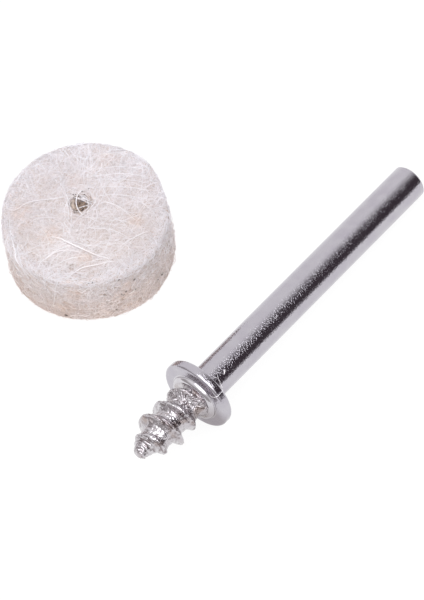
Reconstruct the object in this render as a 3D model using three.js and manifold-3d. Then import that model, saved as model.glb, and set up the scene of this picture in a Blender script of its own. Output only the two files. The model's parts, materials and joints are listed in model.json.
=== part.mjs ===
// Felt polishing wheel with its screw mandrel, lying loose side by side on a bench.
// Millimetres, +Z up. The bench is the plane z = 0 and the origin is under the middle of the pair.
// The wheel is one block of pressed wool felt with a small pilot hole. The mandrel is one piece of
// plated steel: a round shank for a collet, a collar that the felt seats against, and a coarse
// tapered wood-screw thread that cuts its own way into the pilot hole.

import * as THREE from "three";
import { mergeVertices } from "three/addons/utils/BufferGeometryUtils.js";
import Module from "manifold-3d";

const wasm = await Module();
wasm.setup();

// Felt wheel
const WHEEL_RADIUS = 6.85;
const WHEEL_THICKNESS = 5.7;
const WHEEL_EDGE_RADIUS = 0.3;
const PILOT_HOLE_RADIUS = 0.65;
// The hole is punched a little off the middle of the wheel.
const PILOT_HOLE_OFFSET_X = 0.4;
const PILOT_HOLE_OFFSET_Y = 0.8;

// Mandrel, measured along its own axis from the tip of the screw
const SHANK_RADIUS = 1.5;
const SHANK_END_CHAMFER = 0.15;
const MANDREL_LENGTH = 34.1;
const SCREW_LENGTH = 6.85;
const COLLAR_RADIUS = 3.11;
const COLLAR_THICKNESS = 0.85;
const COLLAR_RIM_RADIUS = 0.25;
const BOSS_RADIUS = 2.1;
const BOSS_FRONT_RADIUS = 1.6;
const BOSS_LENGTH = 0.4;

// Thread: right-handed, a narrow crest on a wide root, tapering over the last turn and a half
const THREAD_PITCH = 1.6;
const THREAD_CREST_SHARPNESS = 2.5;
const THREAD_START_TURN = 0.24;
const TIP_RADIUS = 0.45;
const TIP_ROUNDING = 0.15;
const CORE_RADIUS = 1.27;
const CORE_TAPER_LENGTH = 2.25;
const CREST_RADIUS = 1.9;
const CREST_TAPER_LENGTH = 2.35;
const CREST_RADIUS_AT_BOSS = 1.68;

// Where the pair lies: the mandrel points along X, the wheel stands flat beside its middle
const WHEEL_TO_MANDREL_AXIS = 17.03;
const TIP_AHEAD_OF_WHEEL_CENTRE = 13.65;

// Fineness of the faceted surfaces
const WHEEL_SIDES = 72;
const HOLE_SIDES = 24;
const MANDREL_SIDES = 32;
const ARC_STEPS = 4;
const RINGS_PER_PITCH = 12;
const SAME_POINT_DISTANCE = 1e-3;

const FULL_TURN = 2 * Math.PI;
const QUARTER_TURN = Math.PI / 2;

const feltMaterial = new THREE.MeshStandardMaterial({
  color: 0xe9dfdb,
  roughness: 0.95,
  metalness: 0,
});
const platedSteelMaterial = new THREE.MeshStandardMaterial({
  color: 0xb9b4b8,
  roughness: 0.22,
  metalness: 1,
});

// Leaves out each point that lies on the one before it, as arcs and lines share their ends.
function withoutRepeats(points) {
  return points.filter(
    (point, index) => index === 0 || point.distanceTo(points[index - 1]) > SAME_POINT_DISTANCE,
  );
}

// A turned shape: the profile goes from the axis up to the axis again, and the axis becomes +Z.
function turnedGeometry(path, sides) {
  const profile = withoutRepeats(path.getPoints(ARC_STEPS));
  return new THREE.LatheGeometry(profile, sides).rotateX(QUARTER_TURN);
}

function solidFromGeometry(geometry) {
  const positionsOnly = geometry.clone();
  positionsOnly.deleteAttribute("normal");
  positionsOnly.deleteAttribute("uv");
  const merged = mergeVertices(positionsOnly, SAME_POINT_DISTANCE);
  return new wasm.Manifold(
    new wasm.Mesh({
      numProp: 3,
      vertProperties: new Float32Array(merged.attributes.position.array),
      triVerts: new Uint32Array(merged.index.array),
    }),
  );
}

function geometryFromSolid(solid) {
  const mesh = solid.getMesh();
  const geometry = new THREE.BufferGeometry();
  geometry.setAttribute("position", new THREE.BufferAttribute(mesh.vertProperties, 3));
  geometry.setIndex(new THREE.BufferAttribute(mesh.triVerts, 1));
  geometry.computeVertexNormals();
  return geometry;
}

// The wheel stands on z = 0 with its middle on the Z axis.
function feltWheelGeometry() {
  const sideRadius = WHEEL_RADIUS - WHEEL_EDGE_RADIUS;
  const outline = new THREE.Path();
  outline.moveTo(0, 0);
  outline.lineTo(sideRadius, 0);
  outline.absarc(sideRadius, WHEEL_EDGE_RADIUS, WHEEL_EDGE_RADIUS, -QUARTER_TURN, 0, false);
  outline.absarc(
    sideRadius, WHEEL_THICKNESS - WHEEL_EDGE_RADIUS, WHEEL_EDGE_RADIUS, 0, QUARTER_TURN, false,
  );
  outline.lineTo(0, WHEEL_THICKNESS);
  const blank = turnedGeometry(outline, WHEEL_SIDES);

  const punch = new THREE.CylinderGeometry(
    PILOT_HOLE_RADIUS, PILOT_HOLE_RADIUS, 2 * WHEEL_THICKNESS, HOLE_SIDES,
  );
  punch.rotateX(QUARTER_TURN);
  punch.translate(PILOT_HOLE_OFFSET_X, PILOT_HOLE_OFFSET_Y, WHEEL_THICKNESS / 2);
  return geometryFromSolid(solidFromGeometry(blank).subtract(solidFromGeometry(punch)));
}

// Radius of the screw's solid core at a distance from the tip.
function coreRadius(fromTip) {
  const taper = Math.min(fromTip / CORE_TAPER_LENGTH, 1);
  return THREE.MathUtils.lerp(TIP_RADIUS, CORE_RADIUS, taper);
}

// Radius that the thread's crest reaches: a cone at the tip, then a slight fall towards the boss.
function crestRadius(fromTip) {
  if (fromTip < CREST_TAPER_LENGTH) {
    return THREE.MathUtils.lerp(TIP_RADIUS, CREST_RADIUS, fromTip / CREST_TAPER_LENGTH);
  }
  const straightLength = SCREW_LENGTH - BOSS_LENGTH - CREST_TAPER_LENGTH;
  const alongStraight = (fromTip - CREST_TAPER_LENGTH) / straightLength;
  return THREE.MathUtils.lerp(CREST_RADIUS, CREST_RADIUS_AT_BOSS, alongStraight);
}

// Radius of the threaded surface at a distance from the tip and an angle about the axis.
function threadedRadius(fromTip, angle) {
  const turns = fromTip / THREAD_PITCH - angle / FULL_TURN - THREAD_START_TURN;
  const ridge = Math.pow((1 + Math.cos(FULL_TURN * turns)) / 2, THREAD_CREST_SHARPNESS);
  const core = coreRadius(fromTip);
  return core + (crestRadius(fromTip) - core) * ridge;
}

// The outline from the tip through collar and shank, with a ring of points every step of thread.
function mandrelOutline() {
  const bossStart = SCREW_LENGTH - BOSS_LENGTH;
  const collarBack = SCREW_LENGTH + COLLAR_THICKNESS;
  const rimCentre = COLLAR_RADIUS - COLLAR_RIM_RADIUS;
  const outline = new THREE.Path();
  outline.moveTo(0, 0);
  outline.lineTo(TIP_RADIUS - TIP_ROUNDING, 0);
  const threadLength = bossStart - TIP_ROUNDING;
  const ringCount = Math.round((threadLength / THREAD_PITCH) * RINGS_PER_PITCH);
  for (let ring = 0; ring <= ringCount; ring += 1) {
    const fromTip = TIP_ROUNDING + (threadLength * ring) / ringCount;
    outline.lineTo(coreRadius(fromTip), fromTip);
  }
  outline.lineTo(BOSS_FRONT_RADIUS, bossStart + BOSS_LENGTH / 2);
  outline.lineTo(BOSS_RADIUS, SCREW_LENGTH);
  outline.lineTo(rimCentre, SCREW_LENGTH);
  outline.absarc(
    rimCentre, SCREW_LENGTH + COLLAR_RIM_RADIUS, COLLAR_RIM_RADIUS, -QUARTER_TURN, 0, false,
  );
  outline.absarc(
    rimCentre, collarBack - COLLAR_RIM_RADIUS, COLLAR_RIM_RADIUS, 0, QUARTER_TURN, false,
  );
  outline.lineTo(SHANK_RADIUS, collarBack);
  outline.lineTo(SHANK_RADIUS, MANDREL_LENGTH - SHANK_END_CHAMFER);
  outline.lineTo(SHANK_RADIUS - SHANK_END_CHAMFER, MANDREL_LENGTH);
  outline.lineTo(0, MANDREL_LENGTH);
  return outline;
}

// The mandrel stands on its tip at the origin, with the thread raised from the turned core.
function mandrelGeometry() {
  const geometry = turnedGeometry(mandrelOutline(), MANDREL_SIDES);
  const position = geometry.attributes.position;
  const threadEnd = SCREW_LENGTH - BOSS_LENGTH + SAME_POINT_DISTANCE;
  const threadStart = TIP_ROUNDING - SAME_POINT_DISTANCE;
  for (let index = 0; index < position.count; index += 1) {
    const fromTip = position.getZ(index);
    if (fromTip > threadStart && fromTip < threadEnd) {
      const angle = Math.atan2(position.getY(index), position.getX(index));
      const radius = threadedRadius(fromTip, angle);
      position.setXY(index, radius * Math.cos(angle), radius * Math.sin(angle));
    }
  }
  return geometryFromSolid(solidFromGeometry(geometry));
}

// The collar is wider than the shank, so the mandrel lies on its rim and on the shank's far end.
function mandrelTilt() {
  const rimToShankEnd = MANDREL_LENGTH - SHANK_END_CHAMFER - SCREW_LENGTH - COLLAR_THICKNESS / 2;
  return Math.asin((COLLAR_RADIUS - SHANK_RADIUS) / rimToShankEnd);
}

function makeFeltWheel() {
  const wheel = new THREE.Mesh(feltWheelGeometry(), feltMaterial);
  wheel.name = "felt_wheel";
  return wheel;
}

function makeMandrel() {
  const mandrel = new THREE.Mesh(mandrelGeometry(), platedSteelMaterial);
  mandrel.name = "mandrel";
  mandrel.rotation.y = QUARTER_TURN + mandrelTilt();
  mandrel.position.set(-TIP_AHEAD_OF_WHEEL_CENTRE, -WHEEL_TO_MANDREL_AXIS, 0);
  mandrel.updateMatrixWorld(true);
  mandrel.position.z = -new THREE.Box3().setFromObject(mandrel, true).min.z;
  return mandrel;
}

const object = new THREE.Group();
object.name = "felt_polishing_wheel";
object.add(makeFeltWheel());
object.add(makeMandrel());
object.updateMatrixWorld(true);

// The origin goes under the middle of the box that holds both pieces.
const boxCentre = new THREE.Box3().setFromObject(object, true).getCenter(new THREE.Vector3());
object.position.set(-boxCentre.x, -boxCentre.y, 0);

export default object;
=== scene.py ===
"""A felt polishing wheel beside its screw mandrel: the looks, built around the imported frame.

The mesh code works in millimetres and makes Blender meshes in metres, in the row frame.
"""

import json
import math

import bpy
import numpy as np
from mathutils import Matrix, Vector, noise


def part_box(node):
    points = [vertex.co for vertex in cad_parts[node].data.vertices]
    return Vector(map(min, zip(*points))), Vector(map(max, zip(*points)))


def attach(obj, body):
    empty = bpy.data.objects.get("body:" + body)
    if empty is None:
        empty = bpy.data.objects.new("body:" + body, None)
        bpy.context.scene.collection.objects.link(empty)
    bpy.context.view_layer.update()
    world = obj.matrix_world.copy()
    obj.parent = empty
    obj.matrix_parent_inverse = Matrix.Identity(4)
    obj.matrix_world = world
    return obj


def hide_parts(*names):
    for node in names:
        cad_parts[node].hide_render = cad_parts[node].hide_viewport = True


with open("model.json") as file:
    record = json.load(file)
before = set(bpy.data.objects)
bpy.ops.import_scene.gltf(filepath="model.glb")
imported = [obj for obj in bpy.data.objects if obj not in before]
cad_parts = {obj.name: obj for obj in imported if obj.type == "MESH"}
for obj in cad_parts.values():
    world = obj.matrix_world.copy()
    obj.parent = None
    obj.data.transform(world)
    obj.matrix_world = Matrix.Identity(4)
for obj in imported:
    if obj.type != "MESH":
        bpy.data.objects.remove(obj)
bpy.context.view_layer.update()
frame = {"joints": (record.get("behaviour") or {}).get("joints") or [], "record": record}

MM = 0.001
TURN = 2 * math.pi

# Sizes that the frame's boxes don't give, in millimetres. They are as in the CAD source, but the
# felt's edges and the thread's crest are rounder, the collar's rim is a touch sharper, the hole has
# a rounded mouth, the shank's end has a centre mark, and a fillet joins the shank to the collar.
PILOT_HOLE_RADIUS = 0.65
FELT_EDGE_RADIUS = 0.4
HOLE_MOUTH_RADIUS = 0.35
MANDREL_LENGTH = 34.1
SHANK_RADIUS = 1.5
SHANK_END_CHAMFER = 0.15
CENTRE_MARK_DEPTH = 0.05
SCREW_LENGTH = 6.85
COLLAR_RADIUS = 3.11
COLLAR_THICKNESS = 0.85
COLLAR_RIM_RADIUS = 0.24
SHANK_FILLET = 0.12
BOSS_RADIUS = 2.1
BOSS_LENGTH = 0.4
THREAD_PITCH = 1.6
THREAD_START_TURN = 0.24
THREAD_CREST_SHARPNESS = 2.2
TIP_RADIUS = 0.45
TIP_ROUNDING = 0.15
CORE_RADIUS = 1.27
CORE_TAPER_LENGTH = 2.25
CREST_RADIUS = 1.9
CREST_TAPER_LENGTH = 2.35
CREST_RADIUS_AT_BOSS = 1.68

# The crumpled plating on the screw: strands along the thread, and wiry curls beside the boss.
STRANDS_PER_PITCH = 11
STRAND_AXIAL_LENGTH = 0.15
CURL_WIDTH = 0.2
CURL_LENGTH = 0.45
CURLS_FROM_TIP = 4.7

# Where a painted reflection of shadow darkens the collar's face: a place in the row frame, how far
# the painted shadow reaches and over how much of that it fades, in millimetres, and how strong it
# is.
SHADOW_REFLECTION_PLACE = (-10.5, -12.1, 1.5)
SHADOW_REFLECTION_RADIUS = 2.5
SHADOW_REFLECTION_FADE = 1.2
SHADOW_REFLECTION_STRENGTH = 0.75

# The mandrel mesh's own value at each point, painted shade: 1 in the screw's pits and where a
# painted reflection of shadow darkens the collar's face, 0 elsewhere.
PAINTED_SHADE_ATTRIBUTE = "painted_shade"
# How deep a pit must be to take the full painted shade, in mm.
FULLY_SHADED_PIT_DEPTH = 0.05

# Fineness of the grids and the arcs.
ARC_POINTS = 9
WHEEL_SIDES = 300
MANDREL_SIDES = 208
THREAD_RINGS = 270

# The camera, set from the wheel: the view's direction and tilt, and the point that it looks at.
CAMERA_AZIMUTH = math.radians(-44.27)
CAMERA_ELEVATION = math.radians(57.0)
CAMERA_ROLL = math.radians(-7.0)
CAMERA_DISTANCE = 255.8
CAMERA_LENS = 188.1
AIM_RIGHT_OF_WHEEL = 9.81
AIM_BELOW_WHEEL = 4.02


# Places, from the frame ---------------------------------------------------------------------

def mm_box(node):
    low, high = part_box(node)
    return np.array(low) / MM, np.array(high) / MM


def mount(name):
    return next(m for m in frame["record"]["mounts"] if m["name"] == name)


WHEEL_LOW, WHEEL_HIGH = mm_box("felt_wheel")
WHEEL_CENTRE = (WHEEL_LOW + WHEEL_HIGH) / 2 * np.array([1, 1, 0])
WHEEL_RADIUS = (WHEEL_HIGH[0] - WHEEL_LOW[0]) / 2
WHEEL_THICKNESS = WHEEL_HIGH[2] - WHEEL_LOW[2]
HOLE_CENTRE = np.array(frame["joints"][0]["pos_m"]) / MM * np.array([1, 1, 0]) - WHEEL_CENTRE

MANDREL_LOW, MANDREL_HIGH = mm_box("mandrel")
MANDREL_AXIS = np.array(mount("shank_end")["axis"])
SHANK_END = np.array(mount("shank_end")["pos_m"]) / MM
SHANK_END[1] = (MANDREL_LOW[1] + MANDREL_HIGH[1]) / 2
MANDREL_TIP = SHANK_END - MANDREL_AXIS * MANDREL_LENGTH


# Mesh helpers -------------------------------------------------------------------------------

def make_object(name, points, faces, materials):
    """A smooth mesh object from points in millimetres and faces as rows of point numbers."""
    mesh = bpy.data.meshes.new(name)
    mesh.from_pydata((points * MM).tolist(), [], faces)
    mesh.validate()
    for material in materials:
        mesh.materials.append(material)
    mesh.polygons.foreach_set("use_smooth", [True] * len(mesh.polygons))
    mesh.update()
    made = bpy.data.objects.new(name, mesh)
    bpy.context.scene.collection.objects.link(made)
    return made


def grid_faces(rows, columns, close_rows):
    """Quads of a grid whose columns close on themselves, and its rows too if asked."""
    row = np.arange(rows if close_rows else rows - 1)[:, None]
    column = np.arange(columns)[None, :]
    next_row = (row + 1) % rows
    next_column = (column + 1) % columns
    quads = np.stack(
        [row * columns + column, row * columns + next_column,
         next_row * columns + next_column, next_row * columns + column], axis=-1)
    return quads.reshape(-1, 4).tolist()


def evenly(low, high, count):
    """Evenly spaced values from low up to high, without high itself."""
    return np.linspace(low, high, count + 1)[:-1]


def unit(vectors):
    return vectors / np.maximum(np.linalg.norm(vectors, axis=-1, keepdims=True), 1e-12)


def noise_at(points, size, seed):
    """Smooth noise of about -1 to 1 at each point, with bumps of about the given size in mm."""
    shifted = points.reshape(-1, 3) / size + np.array([seed * 17.3, seed * -9.1, seed * 5.7])
    values = np.array([noise.noise(Vector(p)) for p in shifted])
    return values.reshape(points.shape[:-1])


# Material helpers ---------------------------------------------------------------------------

def new_material(name, **settings):
    """A material whose Principled sockets are set by name, with _ for a space."""
    material = bpy.data.materials.new(name)
    material.use_nodes = True
    shader = material.node_tree.nodes["Principled BSDF"]
    for socket, value in settings.items():
        shader.inputs[socket.replace("_", " ")].default_value = value
    return material, material.node_tree, shader


def add_noise(tree, size, detail, roughness=0.5):
    """Noise over the object's own coordinates, with features of about the given size in mm."""
    place = tree.nodes.new("ShaderNodeTexCoord")
    pattern = tree.nodes.new("ShaderNodeTexNoise")
    pattern.inputs["Scale"].default_value = 1 / (size * MM)
    pattern.inputs["Detail"].default_value = detail
    pattern.inputs["Roughness"].default_value = roughness
    tree.links.new(place.outputs["Object"], pattern.inputs["Vector"])
    return pattern.outputs["Fac"]


def add_ramp(tree, value, stops):
    """A colour ramp: stops are (position, colour)."""
    ramp = tree.nodes.new("ShaderNodeValToRGB")
    while len(ramp.color_ramp.elements) < len(stops):
        ramp.color_ramp.elements.new(0.5)
    for element, (position, colour) in zip(ramp.color_ramp.elements, stops):
        element.position = position
        element.color = (*colour, 1)
    tree.links.new(value, ramp.inputs["Fac"])
    return ramp.outputs["Color"]


def add_mix(tree, factor, first, second, blend="MIX"):
    """A blend of two colours. The factor and the colours are sockets or plain numbers."""
    mix = tree.nodes.new("ShaderNodeMix")
    mix.data_type = "RGBA"
    mix.blend_type = blend
    for socket, value in ((0, factor), (6, first), (7, second)):
        if isinstance(value, bpy.types.NodeSocket):
            tree.links.new(value, mix.inputs[socket])
        elif socket == 0:
            mix.inputs[0].default_value = value
        else:
            mix.inputs[socket].default_value = (*value, 1)
    return mix.outputs[2]


def add_range(tree, value, low, high, to_low, to_high):
    """A value that goes smoothly from to_low to to_high as the given one goes from low to high."""
    node = tree.nodes.new("ShaderNodeMapRange")
    node.interpolation_type = "SMOOTHSTEP"
    for name, number in (
            ("From Min", low), ("From Max", high), ("To Min", to_low), ("To Max", to_high)):
        node.inputs[name].default_value = number
    tree.links.new(value, node.inputs["Value"])
    return node.outputs["Result"]


def add_object_xyz(tree):
    """The three coordinates of each point of the surface, in metres, as separate values."""
    place = tree.nodes.new("ShaderNodeTexCoord")
    apart = tree.nodes.new("ShaderNodeSeparateXYZ")
    tree.links.new(place.outputs["Object"], apart.inputs[0])
    return apart.outputs


def add_math(tree, operation, *values):
    """The result of one Math node, whose inputs are sockets or numbers."""
    node = tree.nodes.new("ShaderNodeMath")
    node.operation = operation
    for socket, value in zip(node.inputs, values):
        if isinstance(value, bpy.types.NodeSocket):
            tree.links.new(value, socket)
        else:
            socket.default_value = value
    return node.outputs[0]


def add_bump(tree, shader, height, depth):
    """Bump of the given depth in mm."""
    bump = tree.nodes.new("ShaderNodeBump")
    bump.inputs["Distance"].default_value = depth * MM
    tree.links.new(height, bump.inputs["Height"])
    tree.links.new(bump.outputs["Normal"], shader.inputs["Normal"])


# Felt ---------------------------------------------------------------------------------------

# Where the felt is peach or tan: radius, and place from the middle of the wheel's base, in mm. The
# places here, in LONG_STRANDS, in DARK_SPECKS and in STRAY_WOOL were picked one by one, and
# most of them were turned into millimetres by another program.
PEACH_SPOTS = (
    (1.5, (-3.3, 4.1, 5.7)), (0.9, (-3.8, 3.1, 5.7)), (1.3, (-3.4, 0.7, 5.7)),
    (1.1, (1.8, -3.8, 5.7)), (1.0, (-3.4, -3.0, 5.7)), (1.3, (-5.7, -3.7, 3.9)),
    (1.4, (-3.1, -6.1, 2.9)), (1.6, (-6.4, -2.4, 1.3)), (1.1, (-6.0, -3.4, 2.1)),
    (1.0, (-2.4, -6.4, 3.8)), (1.4, (5.0, 1.7, 5.7)), (1.2, (1.8, 2.6, 5.7)),
    (1.5, (6.2, 2.8, 2.5)), (1.4, (1.5, 6.6, 3.5)), (1.6, (-4.5, 5.1, 2.0)),
)
TAN_PIT = (0.75, (0.05, 1.42, 5.6))
PIT_DEPTH = 0.3
# How far the body lies under the surface that the fibres are laid along.
FELT_UNDER_FIBRES = 0.04


def add_distance_from_line(tree, point, direction):
    """How far each point of the surface lies from a line, in metres."""
    place = tree.nodes.new("ShaderNodeTexCoord")
    offset = tree.nodes.new("ShaderNodeVectorMath")
    offset.operation = "SUBTRACT"
    tree.links.new(place.outputs["Object"], offset.inputs[0])
    offset.inputs[1].default_value = point * MM
    cross = tree.nodes.new("ShaderNodeVectorMath")
    cross.operation = "CROSS_PRODUCT"
    tree.links.new(offset.outputs[0], cross.inputs[0])
    cross.inputs[1].default_value = direction
    length = tree.nodes.new("ShaderNodeVectorMath")
    length.operation = "LENGTH"
    tree.links.new(cross.outputs[0], length.inputs[0])
    return length.outputs["Value"]


def add_spots(tree, spots):
    """1 in the middle of each spot and 0 outside. A spot is (radius, place on the wheel)."""
    place = tree.nodes.new("ShaderNodeTexCoord")
    total = 0.0
    for radius, point in spots:
        distance = tree.nodes.new("ShaderNodeVectorMath")
        distance.operation = "DISTANCE"
        tree.links.new(place.outputs["Object"], distance.inputs[0])
        distance.inputs[1].default_value = (WHEEL_CENTRE + point) * MM
        spot = add_range(tree, distance.outputs["Value"], 0.2 * radius * MM, radius * MM, 1, 0)
        total = add_math(tree, "MAXIMUM", spot, total)
    return total


def add_far_side(tree, near_value, far_value):
    """A value that changes across the wheel, from its front left to its back right."""
    x, y, _ = add_object_xyz(tree)
    across = add_math(tree, "ADD", x, y)
    middle = (WHEEL_CENTRE[0] + WHEEL_CENTRE[1]) * MM
    reach = WHEEL_RADIUS * MM
    return add_range(tree, across, middle - reach, middle + reach, near_value, far_value)


CREAM_TINT = (0.97, 0.965, 0.97)
PEACH_TINT = (0.95, 0.85, 0.78)
FOOT_TINT = (0.90, 0.83, 0.785)
# Painted light: the next tint makes the far side bluer, as a cool back light would.
FAR_SIDE_LIGHT_TINT = (0.955, 0.97, 1.01)
# Painted sheen: the next tint makes the top face's outer edge paler and bluer.
TOP_EDGE_SHEEN_TINT = (1.0, 1.015, 1.045)


def add_wool_tint(tree):
    """Cream wool, peach spots, a warmer darker foot, painted cool far-side light, painted edge
    sheen.
    """
    broken = add_range(tree, add_noise(tree, 0.35, 4, 0.7), 0.35, 0.62, 0.1, 1)
    spots = add_math(tree, "MULTIPLY", add_spots(tree, PEACH_SPOTS), broken)
    tint = add_mix(tree, add_math(tree, "MULTIPLY", spots, 0.75), CREAM_TINT, PEACH_TINT)
    height = add_object_xyz(tree)[2]
    top = WHEEL_THICKNESS * MM
    tint = add_mix(tree, add_range(tree, height, 0.8 * top, 0.1 * top, 0, 0.75), tint, FOOT_TINT)
    # Painted cool light: the far side is tinted bluer.
    tint = add_mix(tree, add_far_side(tree, 0, 0.55), tint, FAR_SIDE_LIGHT_TINT)
    # Painted sheen: the top face's outer edge is tinted paler and bluer.
    from_axis = add_distance_from_line(tree, WHEEL_CENTRE, (0, 0, 1))
    rim = WHEEL_RADIUS * MM
    outer = add_range(tree, from_axis, rim - 1.6 * MM, rim - 0.2 * MM, 0, 1)
    upper = add_range(tree, height, top - 0.9 * MM, top - 0.3 * MM, 0, 1)
    edge = add_math(tree, "MULTIPLY", add_math(tree, "MULTIPLY", outer, upper), 0.8)
    return add_mix(tree, edge, tint, TOP_EDGE_SHEEN_TINT)


FELT_PATCHES = (
    (0.32, (0.84, 0.80, 0.82)), (0.45, (0.87, 0.82, 0.82)), (0.54, (0.88, 0.81, 0.79)),
    (0.65, (0.87, 0.78, 0.74)))
FELT_GRAIN = ((0.38, (0.56, 0.49, 0.44)), (0.53, (1.0, 1.0, 1.0)))
FELT_CLUMPS = ((0.36, (0.96, 0.95, 0.94)), (0.58, (1.0, 1.0, 1.0)))
STAINED_FELT = ((0.35, (0.34, 0.21, 0.13)), (0.65, (0.66, 0.50, 0.37)))


def felt_body_material():
    """Pressed wool: cream and lilac-grey patches, and tan around the pilot hole."""
    material, tree, shader = new_material(
        "wool_felt", Roughness=0.95, Sheen_Weight=0.5, Sheen_Roughness=0.5, Specular_IOR_Level=0.15)
    shader.inputs["Sheen Tint"].default_value = (0.93, 0.94, 1.0, 1)
    patches = add_ramp(tree, add_noise(tree, 2.2, 3), FELT_PATCHES)
    grain = add_ramp(tree, add_noise(tree, 0.13, 3, 0.7), FELT_GRAIN)
    clumps = add_ramp(tree, add_noise(tree, 0.5, 2), FELT_CLUMPS)
    grained = add_mix(tree, add_far_side(tree, 1.0, 0.5), patches, grain, "MULTIPLY")
    felt = add_mix(tree, 1.0, grained, clumps, "MULTIPLY")
    # The wool's tint includes painted cool light on the far side and painted sheen at the top edge.
    felt = add_mix(tree, 1.0, felt, add_wool_tint(tree), "MULTIPLY")
    from_axis = add_distance_from_line(tree, WHEEL_CENTRE + HOLE_CENTRE, (0, 0, 1))
    wobble = add_math(tree, "MULTIPLY_ADD", add_noise(tree, 0.5, 2), 0.7 * MM, from_axis)
    around_hole = add_range(tree, wobble, 1.05 * MM, 1.55 * MM, 0.9, 0)
    in_pit = add_math(tree, "MULTIPLY", add_spots(tree, [TAN_PIT]), 0.8)
    stain = add_math(tree, "MAXIMUM", around_hole, in_pit)
    tan = add_ramp(tree, add_noise(tree, 0.25, 2), STAINED_FELT)
    tree.links.new(add_mix(tree, stain, felt, tan), shader.inputs["Base Color"])
    add_bump(tree, shader, add_noise(tree, 0.12, 4, 0.7), 0.04)
    return material


def fibre_material(name, colours):
    """Wool fibres, each with its own tint between the given colours."""
    material, tree, shader = new_material(
        name, Roughness=0.7, Sheen_Weight=0.2, Specular_IOR_Level=0.3)
    geometry = tree.nodes.new("ShaderNodeNewGeometry")
    stops = [(index / (len(colours) - 1), colour) for index, colour in enumerate(colours)]
    own = add_ramp(tree, geometry.outputs["Random Per Island"], stops)
    # The wool's tint includes painted cool light on the far side and painted sheen at the top edge.
    tinted = add_mix(tree, 1.0, own, add_wool_tint(tree), "MULTIPLY")
    tree.links.new(tinted, shader.inputs["Base Color"])
    return material


def felt_unevenness(points):
    """How far the felt's soft surface stands in or out at each point, in mm."""
    return 0.08 * noise_at(points, 3.5, 1) + 0.032 * noise_at(points, 0.9, 2)


# Where the wheel is out of round: outward share of the radius, direction and half width in degrees,
# and the height in mm at which it is fullest. It fades to nothing one wheel's thickness from there.
OUT_OF_ROUND = (
    (-0.053, -34.0, 34.0, 5.7),
    (-0.026, 122.0, 46.0, 3.5),
    (0.022, -100.0, 45.0, 0.0),
)


def onto_wheel(points):
    """Points of a round wheel, moved to the real one's lopsided outline and place."""
    radial = np.linalg.norm(points[..., :2], axis=-1)
    angle = np.arctan2(points[..., 1], points[..., 0])
    change = np.zeros(points.shape[:-1])
    for share, direction, half_width, full_height in OUT_OF_ROUND:
        apart = np.abs((angle - math.radians(direction) + TURN / 2) % TURN - TURN / 2)
        facing = np.cos(TURN / 4 * np.minimum(apart / math.radians(half_width), 1)) ** 2
        fade = np.clip(1 - np.abs(points[..., 2] - full_height) / WHEEL_THICKNESS, 0, 1)
        change += share * facing * fade
    moved = points.copy()
    moved[..., :2] *= (1 + change * np.minimum(radial / WHEEL_RADIUS, 1) ** 2)[..., None]
    return moved + WHEEL_CENTRE


def felt_section():
    """The wheel's closed outline: up the side, over the top, down the hole and back underneath.

    Each point is its share of the way from the wheel's axis to the hole's, its radius and its
    height.
    """
    edge, mouth = FELT_EDGE_RADIUS, HOLE_MOUTH_RADIUS
    outer, top = WHEEL_RADIUS - edge, WHEEL_THICKNESS
    inner = PILOT_HOLE_RADIUS + mouth
    quarter = evenly(0, TURN / 4, ARC_POINTS - 1)
    side = [(0, WHEEL_RADIUS, z) for z in evenly(edge, top - edge, 55)]
    top_edge = [(0, outer + edge * math.cos(a), top - edge + edge * math.sin(a)) for a in quarter]
    top_face = [(t, outer + (inner - outer) * t, top) for t in evenly(0, 1, 91)]
    top_mouth = [(1, inner - mouth * math.sin(a), top - mouth + mouth * math.cos(a))
                 for a in quarter]
    wall = [(1, PILOT_HOLE_RADIUS, z) for z in evenly(top - mouth, mouth, 25)]
    low_mouth = [(1, inner - mouth * math.cos(a), mouth - mouth * math.sin(a)) for a in quarter]
    low_face = [(1 - t, inner + (outer - inner) * t, 0) for t in evenly(0, 1, 49)]
    low_edge = [(0, outer + edge * math.sin(a), edge - edge * math.cos(a)) for a in quarter]
    return np.array(side + top_edge + top_face + top_mouth + wall + low_mouth + low_face + low_edge)


def felt_body_lift(points):
    """How far the body stands in or out: it is tufted, ragged at the hole and has a pit."""
    on_side = np.clip((WHEEL_THICKNESS - 0.2 - points[..., 2]) / 0.5, 0, 1)
    tufts = (0.022 + 0.03 * on_side) * noise_at(points, 0.3, 3)
    fine = tufts + 0.018 * noise_at(points, 0.13, 4) - FELT_UNDER_FIBRES
    from_hole = np.linalg.norm((points - HOLE_CENTRE)[..., :2], axis=-1)
    ragged = np.clip(1.7 - from_hole, 0, 1) * (0.30 * noise_at(points, 0.5, 5) - 0.05)
    pit_radius, pit = TAN_PIT
    pit_dent = np.exp(-(np.linalg.norm(points - pit, axis=-1) / (0.5 * pit_radius)) ** 2)
    return felt_unevenness(points) + fine + ragged - PIT_DEPTH * pit_dent


def make_felt_body(material):
    section = felt_section()
    angles = np.linspace(0, TURN, WHEEL_SIDES, endpoint=False)
    share, radius, height = (section[:, i][:, None] for i in range(3))
    points = np.stack([
        HOLE_CENTRE[0] * share + radius * np.cos(angles),
        HOLE_CENTRE[1] * share + radius * np.sin(angles),
        height + 0 * angles], axis=-1)
    along = np.roll(points, -1, 0) - np.roll(points, 1, 0)
    around = np.roll(points, -1, 1) - np.roll(points, 1, 1)
    normals = unit(np.cross(around, along))
    above_bench = np.clip(points[..., 2] / 0.5, 0, 1)
    points = points + normals * (felt_body_lift(points) * above_bench)[..., None]
    points[..., 2] = np.maximum(points[..., 2], 0)
    faces = grid_faces(len(section), len(angles), True)
    return make_object("felt_body", onto_wheel(points).reshape(-1, 3), faces, [material])


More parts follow.
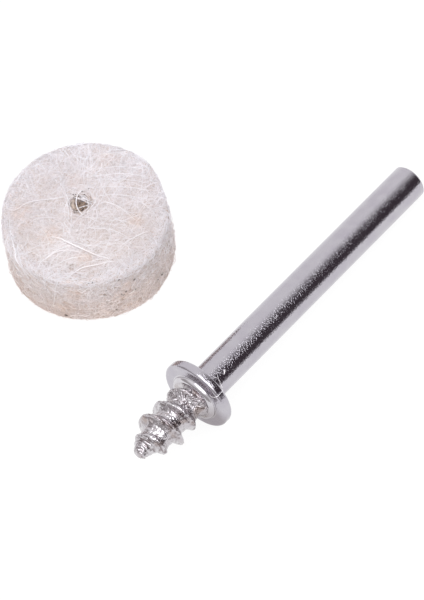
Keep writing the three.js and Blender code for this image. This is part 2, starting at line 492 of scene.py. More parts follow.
def onto_felt(points):
    """The nearest points on the wheel's smooth outer surface, and the normals there."""
    edge = FELT_EDGE_RADIUS
    radial = np.linalg.norm(points[..., :2], axis=-1, keepdims=True)
    core_radius = np.minimum(radial, WHEEL_RADIUS - edge)
    core = np.concatenate([
        points[..., :2] / np.maximum(radial, 1e-9) * core_radius,
        np.clip(points[..., 2:], edge, WHEEL_THICKNESS - edge)], axis=-1)
    normals = unit(points - core)
    return core + normals * edge, normals


def felt_starts(count, rng, part):
    """Random points on the wheel's top, side, top rim or underside."""
    angle = rng.uniform(0, TURN, count)
    if part == "rim":
        height = np.full(count, WHEEL_THICKNESS)
        radius = WHEEL_RADIUS - rng.uniform(-0.2, 0.5, count)
    elif part == "side":
        height = rng.uniform(0.2, WHEEL_THICKNESS - 0.1, count)
        radius = np.full(count, WHEEL_RADIUS + 0.1)
    else:
        height = np.full(count, WHEEL_THICKNESS + 0.1 if part == "top" else -0.1)
        radius = (WHEEL_RADIUS - 0.1) * np.sqrt(rng.uniform(0, 1, count))
    return np.stack([radius * np.cos(angle), radius * np.sin(angle), height], axis=-1)


def combed_headings(points, normals, rng, spread):
    """Directions along the felt that lie alike in patches, each turned by a little of its own."""
    # Level felt has no direction around it, so a trace of +X gives it one.
    around = unit(np.cross((0.0, 0.0, 1.0), normals) + np.array([0.001, 0.0, 0.0]))
    across = np.cross(normals, around)
    angle = TURN * 0.6 * noise_at(points, 5.0, 11) + rng.normal(0, spread, len(points))
    return around * np.cos(angle)[:, None] + across * np.sin(angle)[:, None]


# How deep the ends of a fibre lie in the felt, and how far fibres keep from the hole's wall.
END_DEPTH = 0.03
CLEAR_OF_HOLE = 0.12


def felt_paths(count, rng, part, steps, lengths, bend, lift, spread):
    """Curved paths over the felt, and the surface normals along them.

    Both ends of a path dive into the felt and its middle stands up to lift millimetres proud.
    """
    here, normal = onto_felt(felt_starts(count, rng, part))
    length = rng.uniform(*lengths, count)[:, None]
    step = length / (steps - 1)
    heading = combed_headings(here, normal, rng, spread)
    curl = rng.normal(0, bend, count)[:, None]
    paths, normals = [], []
    for _ in range(steps):
        heading = unit(heading - normal * np.sum(heading * normal, axis=-1, keepdims=True))
        paths.append(here)
        normals.append(normal)
        heading = unit(heading + np.cross(normal, heading) * curl * step)
        curl = curl + rng.normal(0, bend * 0.45, (count, 1))
        here, normal = onto_felt(here + heading * step)
    paths, normals = np.stack(paths, axis=1), np.stack(normals, axis=1)
    along = np.linspace(0, 1, steps)[None, :]
    arch = np.sin(math.pi * along) ** 0.6
    waves = rng.uniform(0.5, 1.6, (count, 1))
    phase = rng.uniform(0, 1, (count, 1))
    ripple = 0.5 * np.sin(TURN * (along * waves + phase))
    stand = rng.uniform(0.25, 1, (count, 1)) * lift * (arch + 0.35 * ripple) - END_DEPTH
    paths = paths + normals * (stand + felt_unevenness(paths))[..., None]
    away = np.linalg.norm((paths - HOLE_CENTRE)[..., :2], axis=-1).min(axis=1)
    keep = away > PILOT_HOLE_RADIUS + CLEAR_OF_HOLE
    paths = paths[keep]
    paths[..., 2] = np.maximum(paths[..., 2], 0.01)
    return paths, normals[keep]


def tube_mesh(paths, normals, radii, sides):
    """One mesh of closed tubes along the paths, thinner towards their ends."""
    count, steps = paths.shape[:2]
    tangent = unit(np.gradient(paths, axis=1))
    across = unit(np.cross(tangent, normals))
    upward = np.cross(across, tangent)
    along = np.linspace(0, 1, steps)
    taper = 0.35 + 0.65 * np.sin(math.pi * along) ** 0.5
    thick = radii[:, None] * taper[None, :]
    turn = np.linspace(0, TURN, sides, endpoint=False)
    ring = (across[:, :, None] * np.cos(turn)[:, None] + upward[:, :, None] * np.sin(turn)[:, None])
    points = paths[:, :, None] + ring * thick[:, :, None, None]
    one = np.array(grid_faces(steps, sides, False))
    shift = (np.arange(count) * steps * sides)[:, None, None]
    quads = (one[None] + shift).reshape(-1, 4).tolist()
    first = np.arange(sides)[::-1]
    last = (steps - 1) * sides + np.arange(sides)
    caps = np.stack([first, last])[None] + shift
    return points.reshape(-1, 3), quads + caps.reshape(-1, sides).tolist()


def make_felt_fibres(name, material, rng, part, count, lengths=(1.0, 4.5), lift=0.06,
                     radius=(0.014, 0.03), bend=0.35, spread=1.2, steps=8, sides=3):
    """Random fibres on one part of the felt, as closed tubes.

    The lengths, the lift and the radius are in mm, the bend in radians per mm and the spread of the
    fibres' directions in radians.
    """
    paths, normals = felt_paths(count, rng, part, steps, lengths, bend, lift, spread)
    radii = rng.uniform(*radius, len(paths))
    points, faces = tube_mesh(paths, normals, radii, sides)
    return make_object(name, onto_wheel(points), faces, [material])


def smooth_path(points, steps):
    """A smooth path of evenly counted steps through a few points."""
    points = np.array(points, float)
    padded = np.vstack([2 * points[0] - points[1], points, 2 * points[-1] - points[-2]])
    at = np.linspace(0, len(points) - 1, steps)
    span = np.minimum(at.astype(int), len(points) - 2)
    t = (at - span)[:, None]
    before, start, end, after = (padded[span + i] for i in range(4))
    return 0.5 * (2 * start + (end - before) * t
                  + (2 * before - 5 * start + 4 * end - after) * t ** 2
                  + (3 * (start - end) + after - before) * t ** 3)


def make_placed_strands(name, material, strands, steps=26, sides=5):
    """Strands laid along chosen points of the felt: (height above it, thickness, points) each."""
    paths, normals, radii = [], [], []
    for height, thickness, points in strands:
        path, normal = onto_felt(smooth_path(points, steps))
        arch = np.sin(math.pi * np.linspace(0, 1, steps)) ** 0.5
        lift = height * arch - END_DEPTH + felt_unevenness(path)
        paths.append(path + normal * lift[:, None])
        normals.append(normal)
        radii.append(thickness / 2)
    points, faces = tube_mesh(np.stack(paths), np.stack(normals), np.array(radii), sides)
    return make_object(name, onto_wheel(points), faces, [material])


# Strands that stand out on the wheel: height above the felt, thickness, and points (x, y, z) from
# the middle of the wheel's base, in millimetres, which are then laid onto the felt.
LONG_STRANDS = (
    (0.10, 0.07, ((3.6, 4.6, 5.7), (3.7, 3.9, 5.7), (3.9, 3.3, 5.7), (4.3, 3.3, 5.7),
                  (4.6, 3.8, 5.7))),
    (0.12, 0.06, ((4.5, 4.6, 5.7), (4.3, 3.7, 5.7), (4.0, 3.3, 5.7), (3.5, 3.0, 5.7),
                  (2.4, 2.2, 5.7), (1.7, 1.4, 5.7))),
    (0.25, 0.085, ((1.4, 1.5, 5.7), (0.85, 1.43, 5.7), (0.36, 1.18, 5.7), (0.03, 0.9, 5.7),
                   (-0.26, 0.46, 5.7), (-0.4, -0.1, 5.7))),
    (0.15, 0.07, ((1.2, 1.1, 5.7), (0.93, 0.56, 5.7), (0.69, 0.22, 5.7), (0.3, -0.1, 5.7),
                  (-0.1, -0.4, 5.7))),
    (0.12, 0.07, ((2.0, 0.4, 5.7), (1.56, 0.1, 5.7), (0.96, -0.16, 5.7), (0.25, -0.24, 5.7),
                  (-0.1, -0.4, 5.7))),
    (0.04, 0.06, ((-0.2, 0.66, 5.7), (0.02, 0.54, 5.7), (0.26, 0.4, 5.7), (0.54, 0.2, 5.7),
                  (0.8, 0.1, 5.7))),
    (-0.12, 0.09, ((0.7, 1.6, 5.7), (0.74, 1.1, 5.7), (0.86, 0.5, 5.7), (0.9, 0.1, 5.7))),
    (-0.04, 0.08, ((0.98, 1.5, 5.7), (0.93, 1.0, 5.7), (1.0, 0.4, 5.7), (1.2, 0.0, 5.7))),
    (0.02, 0.07, ((0.45, 1.7, 5.7), (0.62, 1.2, 5.7), (0.92, 0.75, 5.7), (1.2, 0.4, 5.7))),
    (-0.22, 0.10, ((0.6, 1.5, 5.7), (0.8, 0.95, 5.7), (0.85, 0.3, 5.7))),
    (-0.05, 0.07, ((0.8, 1.65, 5.7), (1.08, 1.1, 5.7), (1.1, 0.5, 5.7))),
    (0.18, 0.12, ((-3.5, 0.6, 5.7), (-3.2, -0.3, 5.7), (-3.1, -1.2, 5.7), (-2.9, -2.3, 5.7),
                  (-2.6, -3.7, 5.7), (-2.2, -4.7, 5.7))),
    (0.10, 0.06, ((-4.1, 0.6, 5.7), (-3.0, -0.9, 5.7), (-2.4, -2.3, 5.7), (-1.6, -3.4, 5.7))),
    (0.12, 0.07, ((-5.6, -2.9, 5.7), (-3.9, -3.3, 5.7), (-2.9, -3.9, 5.7), (-2.2, -4.7, 5.7))),
    (0.10, 0.06, ((-6.5, -1.6, 5.7), (-4.9, -1.1, 5.7), (-3.2, -1.6, 5.7), (-2.2, -2.6, 5.7))),
    (0.10, 0.06, ((-3.6, 5.4, 5.7), (-3.4, 4.6, 5.7), (-2.0, 4.1, 5.7), (-0.3, 2.5, 5.7),
                  (0.6, 1.9, 5.7))),
    (0.10, 0.06, ((-3.7, 5.0, 5.7), (-5.2, 3.4, 5.7), (-6.2, 2.0, 5.7), (-6.8, 0.9, 5.0))),
    (0.12, 0.06, ((0.7, -6.2, 5.7), (1.5, -6.6, 5.2), (2.7, -6.3, 2.4), (3.7, -5.8, 0.5))),
    (0.10, 0.05, ((2.7, 1.9, 5.7), (4.5, 0.1, 5.7), (5.8, -2.0, 5.7))),
    (0.10, 0.05, ((2.4, 0.8, 5.7), (3.9, -1.3, 5.7), (4.9, -3.1, 5.7))),
    (0.10, 0.05, ((2.8, 1.4, 5.7), (4.3, -0.6, 5.7), (5.4, -2.5, 5.7))),
    (0.10, 0.05, ((3.4, 2.2, 5.7), (4.9, 0.7, 5.7), (6.2, -1.4, 5.7))),
    (0.12, 0.08, ((-6.0, -0.4, 5.7), (-4.4, -0.7, 5.7), (-3.2, -1.2, 5.7))),
    (0.14, 0.09, ((-5.4, -0.5, 5.7), (-4.1, -1.0, 5.7), (-3.3, -2.2, 5.7), (-3.3, -3.4, 5.7))),
    (0.16, 0.10, ((-5.6, -3.1, 5.7), (-4.4, -3.4, 5.7), (-3.4, -4.1, 5.7), (-2.2, -5.0, 5.7))),
    (0.12, 0.08, ((-5.3, -1.6, 5.7), (-4.2, -2.1, 5.7), (-3.0, -3.1, 5.7))),
    (0.10, 0.06, ((-3.9, 2.8, 5.7), (-3.0, 2.6, 5.7), (-2.1, 1.8, 5.7))),
    (0.12, 0.07, ((-1.0, -4.5, 5.7), (0.3, -4.8, 5.7), (1.7, -5.3, 5.7))),
    (0.10, 0.06, ((1.6, -0.3, 5.7), (2.0, -1.9, 5.7), (1.8, -4.0, 5.7))),
    (0.10, 0.07, ((-1.0, -1.4, 5.7), (-0.1, -2.9, 5.7), (0.2, -4.4, 5.7))),
    (0.10, 0.06, ((1.6, 0.3, 5.7), (2.9, -1.2, 5.7), (4.3, -3.8, 5.7))),
    (0.12, 0.06, ((-6.4, 2.2, 5.7), (-6.8, 0.4, 5.1), (-6.8, -0.7, 4.1))),
    (0.12, 0.06, ((-6.0, -2.6, 5.7), (-6.4, -2.4, 4.6), (-6.5, -2.2, 3.2), (-6.6, -1.8, 1.4))),
)
# Dark bits caught in the felt: length, and place as above.
DARK_SPECKS = (
    (0.30, (1.02, -6.77, 1.66)), (0.22, (-1.83, -6.6, 4.17)), (0.20, (-3.04, -6.14, 5.13)),
    (0.14, (-4.75, -4.93, 5.6)), (0.16, (-4.96, -4.73, 5.6)), (0.16, (-1.87, -6.59, 2.8)),
    (0.22, (-2.65, -6.32, 3.15)), (0.16, (-3.0, -6.16, 3.03)), (0.16, (-4.19, -5.42, 3.67)),
    (0.12, (-3.83, -5.68, 2.76)), (0.28, (-6.25, -2.81, 0.72)), (0.14, (0.41, -6.84, 1.66)),
    (0.26, (-6.72, 1.33, 3.76)), (0.30, (-0.02, 0.2, 5.7)), (0.16, (-0.38, 0.55, 5.7)),
    (0.12, (-0.42, 0.72, 5.7)), (0.16, (0.63, 1.75, 5.7)), (0.12, (0.73, 1.63, 5.7)),
    (0.14, (1.31, 1.41, 5.7)), (0.12, (1.82, 1.16, 5.7)), (0.12, (1.19, 1.06, 5.7)),
    (0.12, (-0.1, 1.38, 5.7)), (0.22, (5.2, 4.3, 3.1)), (0.18, (-2.2, 6.5, 2.2)),
)


def make_dark_specks(name, material, rng):
    """Short dark hairs, each thinner than it is long and turned its own way."""
    steps = 5
    length = np.array([speck[0] for speck in DARK_SPECKS])
    middle, normal = onto_felt(np.array([speck[1] for speck in DARK_SPECKS]))
    heading = combed_headings(middle, normal, rng, 2.0)
    along = np.linspace(-0.5, 0.5, steps)[None, :, None] * length[:, None, None]
    lift = felt_unevenness(middle) + 0.05
    paths = (middle + normal * lift[:, None])[:, None] + heading[:, None] * along
    normals = np.repeat(normal[:, None], steps, axis=1)
    points, faces = tube_mesh(paths, normals, 0.16 * length + 0.01, 6)
    return make_object(name, onto_wheel(points), faces, [material])


def make_hole_fuzz(name, material, rng, count, deepest, spans, middle_angle=0.0, spread=TURN / 2,
                   steps=7, sides=3):
    """Loose wool that the cutter left inside the pilot hole, as short fibres from wall to wall.

    Each fibre spans an angle of the hole, whose middle lies within spread of middle_angle.
    """
    span = rng.uniform(*spans, count)
    start = middle_angle + rng.uniform(-spread, spread, count) - span / 2
    end = start + span
    reach = PILOT_HOLE_RADIUS + rng.uniform(0.02, 0.14, (2, count))
    depth = WHEEL_THICKNESS - 0.1 - deepest * rng.uniform(0, 1, count) ** 1.5
    slope = rng.uniform(-0.25, 0.25, count)
    ends = [np.stack([r * np.cos(a), r * np.sin(a), depth + d], axis=-1)
            for r, a, d in ((reach[0], start, slope), (reach[1], end, -slope))]
    middle = (ends[0] + ends[1]) / 2 * rng.uniform(0.6, 1.5, (count, 1)) * np.array([1, 1, 0])
    middle[:, 2] = depth + rng.uniform(-0.15, 0.15, count)
    t = np.linspace(0, 1, steps)[None, :, None]
    paths = (ends[0][:, None] * (1 - t) ** 2 + 2 * middle[:, None] * t * (1 - t)
             + ends[1][:, None] * t ** 2)
    normals = np.zeros_like(paths) + np.array([0.0, 0.0, 1.0])
    points, faces = tube_mesh(paths + HOLE_CENTRE, normals, rng.uniform(0.012, 0.024, count), sides)
    return make_object(name, onto_wheel(points), faces, [material])


# Mandrel ------------------------------------------------------------------------------------

STEEL_TINTS = ((0.35, (0.48, 0.455, 0.505)), (0.65, (0.52, 0.50, 0.54)))
# Painted highlight: the boss's plating is a brighter copy of the shank's, so its crescent shines
# brighter.
BOSS_HIGHLIGHT_TINTS = ((0.35, (0.57, 0.55, 0.58)), (0.65, (0.66, 0.64, 0.67)))
STAINED_TINTS = (
    (0.32, (0.42, 0.36, 0.35)), (0.45, (0.54, 0.51, 0.535)), (0.65, (0.63, 0.61, 0.63)))
# Painted shade: the plating is multiplied by this colour in the screw's pits and on the collar's
# painted shadow.
PAINTED_SHADE_TINT = (0.46, 0.41, 0.41)
TURNING_MARK_SPACING = 0.11


def plated_steel_material(name, roughness, tints, speck_size, speck_depth, speck_from,
                          turned=False):
    """Bright nickel plating with fine specks, so that reflections sparkle at their edges.

    Specks rise where the noise passes speck_from: a high value makes them few. Turned steel has
    faint rings on its flat faces too. The mesh says where shade is painted, in the screw's pits and
    as a reflection of shadow on the collar, and the plating is darkened there.
    """
    material, tree, shader = new_material(name, Metallic=1.0)
    # Painted shade: the mesh's attribute darkens the plating in the screw's pits and paints a
    # reflection of shadow on the collar.
    painted_shade = tree.nodes.new("ShaderNodeAttribute")
    painted_shade.attribute_name = PAINTED_SHADE_ATTRIBUTE
    plating = add_ramp(tree, add_noise(tree, 1.1, 4), tints)
    shaded_plating = add_mix(tree, 1.0, plating, PAINTED_SHADE_TINT, "MULTIPLY")
    tree.links.new(
        add_mix(tree, painted_shade.outputs["Fac"], plating, shaded_plating), shader.inputs["Base Color"])
    tree.links.new(
        add_range(tree, add_noise(tree, 0.4, 3), 0.3, 0.7, roughness * 0.75, roughness * 1.3),
        shader.inputs["Roughness"])
    specks = add_range(tree, add_noise(tree, speck_size, 1, 0.5), speck_from, 0.75, 0, 1)
    if turned:
        from_axis = add_distance_from_line(tree, MANDREL_TIP, MANDREL_AXIS)
        rings = tree.nodes.new("ShaderNodeTexNoise")
        rings.noise_dimensions = "1D"
        rings.inputs["Scale"].default_value = 1 / (TURNING_MARK_SPACING * MM)
        tree.links.new(from_axis, rings.inputs["W"])
        specks = add_math(tree, "MULTIPLY_ADD", rings.outputs["Fac"], 0.6, specks)
    add_bump(tree, shader, specks, speck_depth)
    return material


def thread_turns(from_tip, angle):
    """How many turns of thread lie between a point and the thread's start."""
    return from_tip / THREAD_PITCH - angle / TURN - THREAD_START_TURN


def thread_ridge(from_tip, angle):
    """1 on the thread's crest and 0 at its root."""
    wave = (1 + np.cos(TURN * thread_turns(from_tip, angle))) / 2
    return wave ** THREAD_CREST_SHARPNESS


def screw_radius(from_tip, angle):
    """Radius of the thread's surface: a narrow crest that winds right-handed over a wide root."""
    core = TIP_RADIUS + (CORE_RADIUS - TIP_RADIUS) * np.minimum(from_tip / CORE_TAPER_LENGTH, 1)
    straight = SCREW_LENGTH - BOSS_LENGTH - CREST_TAPER_LENGTH
    tapered = TIP_RADIUS + (CREST_RADIUS - TIP_RADIUS) * from_tip / CREST_TAPER_LENGTH
    falling = CREST_RADIUS + (CREST_RADIUS_AT_BOSS - CREST_RADIUS) * (
        from_tip - CREST_TAPER_LENGTH) / straight
    crest = np.where(from_tip < CREST_TAPER_LENGTH, tapered, falling)
    return core + (crest - core) * thread_ridge(from_tip, angle)


def screw_crumple(points, from_tip, angle):
    """The crumpled plating: strands along the thread, pits, and wiry curls beside the boss."""
    phase = TURN * thread_turns(from_tip, angle)
    strands = noise_at(np.stack([
        STRANDS_PER_PITCH / TURN * np.cos(phase), STRANDS_PER_PITCH / TURN * np.sin(phase),
        from_tip / STRAND_AXIAL_LENGTH + 0 * phase], axis=-1), 1.0, 9)
    swing = angle + 0.12 * np.sin(TURN * from_tip / 0.7)
    curls = 0.4 - 1.8 * np.abs(noise_at(np.stack([
        CREST_RADIUS / CURL_WIDTH * np.cos(swing), CREST_RADIUS / CURL_WIDTH * np.sin(swing),
        from_tip / CURL_LENGTH + 0 * swing], axis=-1), 1.0, 12))
    near_boss = np.clip((from_tip - CURLS_FROM_TIP) / 0.5, 0, 1)
    near_tip = np.clip((1.4 - from_tip) / 0.6, 0, 1)
    patchy = np.clip(0.5 + 1.2 * noise_at(points, 1.1, 10), 0, 1)
    crest = thread_ridge(from_tip, angle)
    amount = np.clip(0.12 + crest * patchy + 0.4 * near_tip, 0, 1) * (1 - near_boss)
    pits = 0.050 * noise_at(points, 0.33, 7) + 0.028 * noise_at(points, 0.15, 8)
    return pits + 0.14 * amount * strands + 0.13 * near_boss * curls


def mandrel_profile():
    """(distance from the tip, radius, 1 on the threaded stretch) of each ring of points."""
    boss_start = SCREW_LENGTH - BOSS_LENGTH
    collar_back = SCREW_LENGTH + COLLAR_THICKNESS
    rim = COLLAR_RIM_RADIUS
    rim_centre = COLLAR_RADIUS - rim
    quarter = np.linspace(0, TURN / 4, ARC_POINTS)
    tip_flat = TIP_RADIUS - TIP_ROUNDING
    rows = [(0, r, 0) for r in evenly(0.05, tip_flat, 3)]
    rows += [(TIP_ROUNDING * (1 - math.cos(a)), tip_flat + TIP_ROUNDING * math.sin(a), 0)
             for a in quarter[:-1]]
    rows += [(s, 0, 1) for s in np.linspace(TIP_ROUNDING, boss_start, THREAD_RINGS)]
    rows += [(boss_start + BOSS_LENGTH * (1 - math.cos(a)),
              BOSS_RADIUS - BOSS_LENGTH * (1 - math.sin(a)), 0)
             for a in np.linspace(0.12, 0.97, 10) * TURN / 4]
    rows += [(SCREW_LENGTH - 0.015 * (1 - t), BOSS_RADIUS + (rim_centre - BOSS_RADIUS) * t, 0)
             for t in evenly(0, 1, 9)]
    rows += [(SCREW_LENGTH + rim * (1 - math.cos(a)), rim_centre + rim * math.sin(a), 0)
             for a in quarter]
    rows += [(collar_back - rim * (1 - math.sin(a)), rim_centre + rim * math.cos(a), 0)
             for a in quarter]
    rows += [(collar_back, r, 0)
             for r in np.linspace(rim_centre, SHANK_RADIUS + SHANK_FILLET, 8)[1:]]
    rows += [(collar_back + SHANK_FILLET * math.sin(a),
              SHANK_RADIUS + SHANK_FILLET * (1 - math.sin(a)), 0)
             for a in quarter[1:]]
    chamfer_start = MANDREL_LENGTH - SHANK_END_CHAMFER
    rows += [(s, SHANK_RADIUS, 0) for s in np.linspace(collar_back + 0.3, chamfer_start - 0.03, 16)]
    rows += [(chamfer_start + SHANK_END_CHAMFER * t, SHANK_RADIUS - SHANK_END_CHAMFER * t, 0)
             for t in (0.05, 0.5, 0.95)]
    rows += [(MANDREL_LENGTH, r, 0)
             for r in (SHANK_RADIUS - SHANK_END_CHAMFER - 0.03, 0.9, 0.6, 0.3)]
    rows += [(MANDREL_LENGTH - 0.8 * CENTRE_MARK_DEPTH, 0.1, 0)]
    return np.array(rows)


def mandrel_axes():
    """Two directions across the mandrel, with angles counted as in the thread's formula."""
    first = np.array([0.0, 0.0, -1.0])
    first = unit(first - MANDREL_AXIS * first.dot(MANDREL_AXIS))
    return first, np.cross(MANDREL_AXIS, first)


def mandrel_painted_shade(points, crumple):
    """Painted shade: 1 in the screw's pits and in a painted reflection of shadow on the collar, 0
    elsewhere.
    """
    # Painted reflection of shadow: the collar's face darkens near one place, standing in for the
    # floor's contact shadow mirrored there.
    from_shadow_reflection = np.linalg.norm(points - SHADOW_REFLECTION_PLACE, axis=-1)
    reflected_shadow = SHADOW_REFLECTION_STRENGTH * np.clip((SHADOW_REFLECTION_RADIUS - from_shadow_reflection) / SHADOW_REFLECTION_FADE, 0, 1)
    return np.maximum(np.clip(-crumple / FULLY_SHADED_PIT_DEPTH, 0, 1), reflected_shadow)


def mandrel_material_numbers(profile, face_count):
    """Which material each face has: 0 for shank and collar, 1 for the screw, 2 for the boss."""
    past_screw = profile[:, 0] > SCREW_LENGTH - BOSS_LENGTH
    boss_row = int(np.argmax(past_screw))
    collar_row = int(np.argmax(past_screw & (profile[:, 1] > BOSS_RADIUS)))
    numbers = np.zeros(face_count, np.int32)
    numbers[: collar_row * MANDREL_SIDES] = 2
    numbers[: boss_row * MANDREL_SIDES] = 1
    return numbers


def make_mandrel(materials):
    """One smooth mesh with three materials: for shank and collar, for screw, and for boss."""
    profile = mandrel_profile()
    sides = MANDREL_SIDES
    angles = np.linspace(0, TURN, sides, endpoint=False)[None, :]
    from_tip, radius, threaded = (profile[:, i][:, None] for i in range(3))
    radius = np.where(threaded > 0, screw_radius(from_tip, angles), radius + 0 * angles)
    first, second = mandrel_axes()
    outward = first * np.cos(angles)[..., None] + second * np.sin(angles)[..., None]
    points = MANDREL_TIP + MANDREL_AXIS * from_tip[..., None] + outward * radius[..., None]
    # The crumpled plating ends softly at the boss.
    rough = np.clip((SCREW_LENGTH - BOSS_LENGTH + 0.03 - from_tip) / 0.15, 0, 1)
    crumple = rough * screw_crumple(points, from_tip, angles)
    # Painted shade for the screw's pits and a painted reflection of shadow on the collar's face.
    painted_shade = mandrel_painted_shade(points, crumple)
    points = points + outward * crumple[..., None]
    rows = len(profile)
    faces = grid_faces(rows, sides, False)
    ends = np.stack([MANDREL_TIP, SHANK_END - MANDREL_AXIS * CENTRE_MARK_DEPTH])
    tip, end = rows * sides, rows * sides + 1
    for i in range(sides):
        j = (i + 1) % sides
        faces.append([tip, j, i])
        faces.append([end, (rows - 1) * sides + i, (rows - 1) * sides + j])
    made = make_object(
        "mandrel_steel", np.vstack([points.reshape(-1, 3), ends]), faces, materials)
    made.data.attributes.new(PAINTED_SHADE_ATTRIBUTE, "FLOAT", "POINT").data.foreach_set(
        "value", np.append(painted_shade.reshape(-1), [0, 0]).astype(np.float32))
    made.data.polygons.foreach_set(
        "material_index", mandrel_material_numbers(profile, len(made.data.polygons)))
    return made


# Wool on the mandrel: a hair looped over the collar's rim, and a short bit on the shank.
STRAY_WOOL = (
    (0.05, ((-8.64, -10.97, 4.43), (-8.34, -11.21, 4.28), (-8.5, -11.6, 3.95),
            (-8.95, -12.15, 4.5), (-9.46, -12.63, 5.24), (-10.02, -12.59, 5.18),
            (-10.12, -12.13, 4.75), (-10.11, -11.83, 4.83))),
    (0.10, ((-7.38, -11.12, 4.28), (-7.55, -11.22, 4.23), (-7.73, -11.31, 4.18))),
)


def make_stray_wool(name, material, strands, steps=40, sides=5):
    """Wool that has blown onto the mandrel: (thickness, points) each, in the row frame's mm."""
    paths, radii = [], []
    for thickness, points in strands:
        points = np.array(points)
        from_tip = (points - MANDREL_TIP) @ MANDREL_AXIS
        outward = unit(points - MANDREL_TIP - from_tip[:, None] * MANDREL_AXIS)
        paths.append(smooth_path(points + outward * 0.08, steps))
        radii.append(thickness / 2)
    normals = np.zeros((len(paths), steps, 3)) + unit(np.array([0.2, -0.4, 0.9]))
    points, faces = tube_mesh(np.stack(paths), normals, np.array(radii), sides)
    return make_object(name, points, faces, [material])


# Stage --------------------------------------------------------------------------------------

FLOOR_REACH = 3.0


def make_floor():
    """A pale floor, which glows so that it stays as white as the photo's ground."""
    corners = [(x * FLOOR_REACH, y * FLOOR_REACH, 0)
               for x, y in ((-1, -1), (1, -1), (1, 1), (-1, 1))]
    mesh = bpy.data.meshes.new("floor")
    mesh.from_pydata(corners, [], [(0, 1, 2, 3)])
    material, tree, shader = new_material("pale_floor", Roughness=0.9, Specular_IOR_Level=0.0)
    shader.inputs["Base Color"].default_value = (0.12, 0.12, 0.12, 1)
    shader.inputs["Emission Color"].default_value = (1, 1, 1, 1)
    shader.inputs["Emission Strength"].default_value = 0.9
    mesh.materials.append(material)
    floor = bpy.data.objects.new("floor", mesh)
    bpy.context.scene.collection.objects.link(floor)


WHITE_ROOM = (1.0, 0.99, 1.0)
DIM_CORNER = (0.22, 0.19, 0.19)
DARK_WALL = (0.07, 0.055, 0.065)
BRIGHT_LAMP = (2.8, 2.8, 2.85)


def make_world():
    """The studio around the part, which bright metal mirrors.

    It is white, dimmer low down at the left, with a lamp overhead and a dark wall at the right
    front. A faint light line runs across the wall.
    """
    world = bpy.data.worlds.new("studio")
    bpy.context.scene.world = world
    world.use_nodes = True
    tree = world.node_tree
    place = tree.nodes.new("ShaderNodeTexCoord")
    apart = tree.nodes.new("ShaderNodeSeparateXYZ")
    tree.links.new(place.outputs["Generated"], apart.inputs[0])
    x, y, z = apart.outputs
    to_the_right_front = add_math(
        tree, "MULTIPLY",
        add_range(tree, y, 0.38, -0.53, 0, 1), add_range(tree, x, 0.02, 0.34, 0, 1))
    wall = add_math(tree, "MULTIPLY", add_range(tree, z, -0.08, 0.17, 0, 1), to_the_right_front)
    line = add_math(tree, "MULTIPLY", add_math(tree, "COMPARE", z, 0.15, 0.012), wall)
    wall = add_math(tree, "SUBTRACT", wall, add_math(tree, "MULTIPLY", line, 0.3))
    low_left = add_math(
        tree, "MULTIPLY",
        add_range(tree, z, 0.8, 0.35, 0, 0.7), add_range(tree, x, 0.15, -0.35, 0, 1))
    height = add_math(tree, "MULTIPLY_ADD", y, -0.3, add_math(tree, "MULTIPLY", z, 0.95))
    lamp = add_math(
        tree, "MULTIPLY",
        add_range(tree, height, 0.82, 0.87, 0, 1), add_range(tree, x, 0.40, 0.36, 0, 1))
    colour = add_mix(tree, low_left, WHITE_ROOM, DIM_CORNER)
    colour = add_mix(tree, wall, colour, DARK_WALL)
    colour = add_mix(tree, lamp, colour, BRIGHT_LAMP)
    background = tree.nodes["Background"]
    tree.links.new(colour, background.inputs["Color"])
    background.inputs["Strength"].default_value = 1.0


def add_softbox(name, place, size, radiance, colour):
    """A round lamp that lights the felt, while metal mirrors only the world."""
    light = bpy.data.lights.new(name, "AREA")
    light.shape = "DISK"
    light.size = size
    light.energy = radiance * math.pi * math.pi * (size / 2) ** 2
    light.color = colour
    lamp = bpy.data.objects.new(name, light)
    lamp.location = place
    lamp.rotation_euler = (-Vector(place)).to_track_quat("-Z", "Y").to_euler()
    lamp.visible_glossy = False
    bpy.context.scene.collection.objects.link(lamp)


def make_camera():
    """Looks down on the pair from the front left, tilted a little, from far away."""
    right = np.array([math.cos(CAMERA_AZIMUTH), math.sin(CAMERA_AZIMUTH), 0])
    ahead = np.array([-math.sin(CAMERA_AZIMUTH), math.cos(CAMERA_AZIMUTH), 0])
    back = -ahead * math.cos(CAMERA_ELEVATION) + np.array([0, 0, math.sin(CAMERA_ELEVATION)])
    up = np.cross(back, right)
    rolled_right = math.cos(CAMERA_ROLL) * right + math.sin(CAMERA_ROLL) * up
    rolled_up = -math.sin(CAMERA_ROLL) * right + math.cos(CAMERA_ROLL) * up
    aim = WHEEL_CENTRE + rolled_right * AIM_RIGHT_OF_WHEEL - rolled_up * AIM_BELOW_WHEEL
    place = (aim + back * CAMERA_DISTANCE) * MM
    data = bpy.data.cameras.new("camera")
    data.lens = CAMERA_LENS
    data.sensor_width = 36
    data.clip_start = 0.01
    data.clip_end = 20
    camera = bpy.data.objects.new("camera", data)
    turn = Matrix((rolled_right, rolled_up, back)).transposed().to_4x4()
    camera.matrix_world = Matrix.Translation(place) @ turn
    bpy.context.scene.collection.objects.link(camera)
    bpy.context.scene.camera = camera


# Assembly -----------------------------------------------------------------------------------

make_camera()
make_floor()
make_world()
add_softbox("overhead", (-0.12, 0.06, 0.45), 0.5, 0.2, (0.97, 0.98, 1.0))
add_softbox("front_fill", (0.065, -0.42, 0.14), 0.4, 0.4, (1.0, 0.96, 0.93))
add_softbox("left_fill", (-0.43, -0.05, 0.10), 0.35, 2.2, (1.0, 0.96, 0.93))
bpy.context.scene.view_settings.view_transform = "Standard"

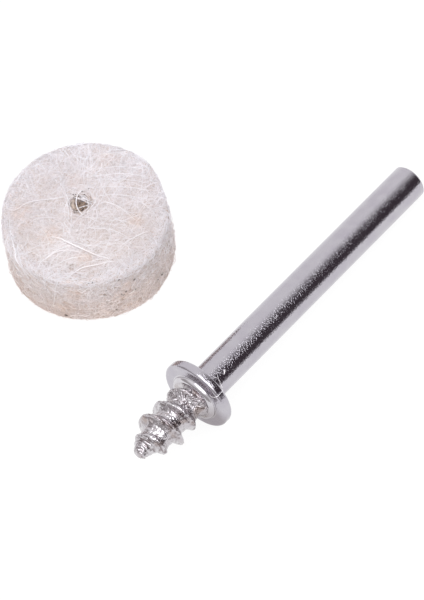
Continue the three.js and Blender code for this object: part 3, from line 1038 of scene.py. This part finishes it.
RANDOM_SEED = 20
rng = np.random.default_rng(RANDOM_SEED)
felt = felt_body_material()
pale_wool = fibre_material(
    "pale_wool", ((0.74, 0.65, 0.61), (0.86, 0.80, 0.795), (0.92, 0.88, 0.895)))
white_wool = fibre_material("white_wool", ((0.90, 0.86, 0.87), (0.95, 0.93, 0.94)))
tan_wool = fibre_material("tan_wool", ((0.44, 0.30, 0.21), (0.62, 0.47, 0.37), (0.78, 0.66, 0.57)))
cream_wool = fibre_material(
    "cream_wool", ((0.72, 0.54, 0.41), (0.86, 0.72, 0.61), (0.92, 0.83, 0.76)))
dark_wool = fibre_material("dark_wool", ((0.07, 0.055, 0.05), (0.16, 0.13, 0.12)))

felt_pieces = [
    make_felt_body(felt),
    make_felt_fibres("felt_fibres_top", pale_wool, rng, "top", 2600, radius=(0.012, 0.024)),
    make_felt_fibres("felt_fine_fibres_top", pale_wool, rng, "top", 3400, lengths=(0.4, 2.0),
                     lift=0.05, radius=(0.009, 0.016), bend=0.8, spread=2.0, steps=6),
    make_felt_fibres("felt_fibres_side", pale_wool, rng, "side", 2200, lengths=(0.6, 2.6), bend=0.8,
                     radius=(0.012, 0.024), spread=2.0),
    make_felt_fibres("felt_fine_fibres_side", pale_wool, rng, "side", 3400, lengths=(0.3, 1.3),
                     lift=0.07, radius=(0.009, 0.017), bend=1.6, spread=3.0, steps=6),
    make_felt_fibres("felt_fibres_under", pale_wool, rng, "under", 600, lift=0.01),
    make_felt_fibres("felt_strands", white_wool, rng, "top", 420, lengths=(1.2, 5.5), lift=0.10,
                     radius=(0.013, 0.026), bend=0.3, spread=0.6, steps=14, sides=4),
    make_felt_fibres("felt_tan_fibres_top", tan_wool, rng, "top", 260, lengths=(0.2, 0.9),
                     lift=0.05, radius=(0.009, 0.018), bend=1.2, spread=3.0, steps=6),
    make_felt_fibres("felt_curls_side", white_wool, rng, "side", 700, lengths=(0.3, 1.3), lift=0.2,
                     radius=(0.016, 0.032), bend=2.6, spread=3.0, steps=9, sides=4),
    make_felt_fibres("felt_rim_fuzz", white_wool, rng, "rim", 700, lengths=(0.4, 2.2), lift=0.14,
                     radius=(0.010, 0.020), bend=1.0, spread=3.0, steps=7),
    make_felt_fibres("felt_tan_fibres_side", tan_wool, rng, "side", 700, lengths=(0.2, 1.0),
                     lift=0.06, radius=(0.01, 0.02), bend=1.2, spread=3.0, steps=6),
    make_felt_fibres("felt_dark_hairs", dark_wool, rng, "side", 30, lengths=(0.15, 0.4), lift=0.05,
                     radius=(0.02, 0.035), bend=0.8, steps=5, sides=4),
    make_placed_strands("felt_long_strands", white_wool, LONG_STRANDS),
    make_dark_specks("felt_dark_specks", dark_wool, rng),
    make_hole_fuzz("pilot_hole_fuzz", tan_wool, rng, 110, 2.4, (0.6, 3.6)),
    make_hole_fuzz("pilot_hole_pale_fuzz", pale_wool, rng, 70, 0.7, (0.5, 1.8), TURN / 8, 1.0),
    make_hole_fuzz("pilot_hole_lobe_fuzz", cream_wool, rng, 80, 0.4, (0.5, 1.4), TURN * 0.40, 0.6),
]
for piece in felt_pieces:
    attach(piece, "wheel")
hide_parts("felt_wheel")

mandrel = make_mandrel([
    plated_steel_material("plated_shank", 0.08, STEEL_TINTS, 0.12, 0.005, 0.45, turned=True),
    plated_steel_material("plated_screw", 0.09, STAINED_TINTS, 0.2, 0.018, 0.3),
    # The boss has the same nickel plating, made brighter as a painted highlight.
    plated_steel_material("plated_boss_highlight", 0.1, BOSS_HIGHLIGHT_TINTS, 0.12, 0.002, 0.3),
])
stray_wool = make_stray_wool("stray_wool", white_wool, STRAY_WOOL)
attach(stray_wool, "mandrel")
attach(mandrel, "mandrel")
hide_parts("mandrel")
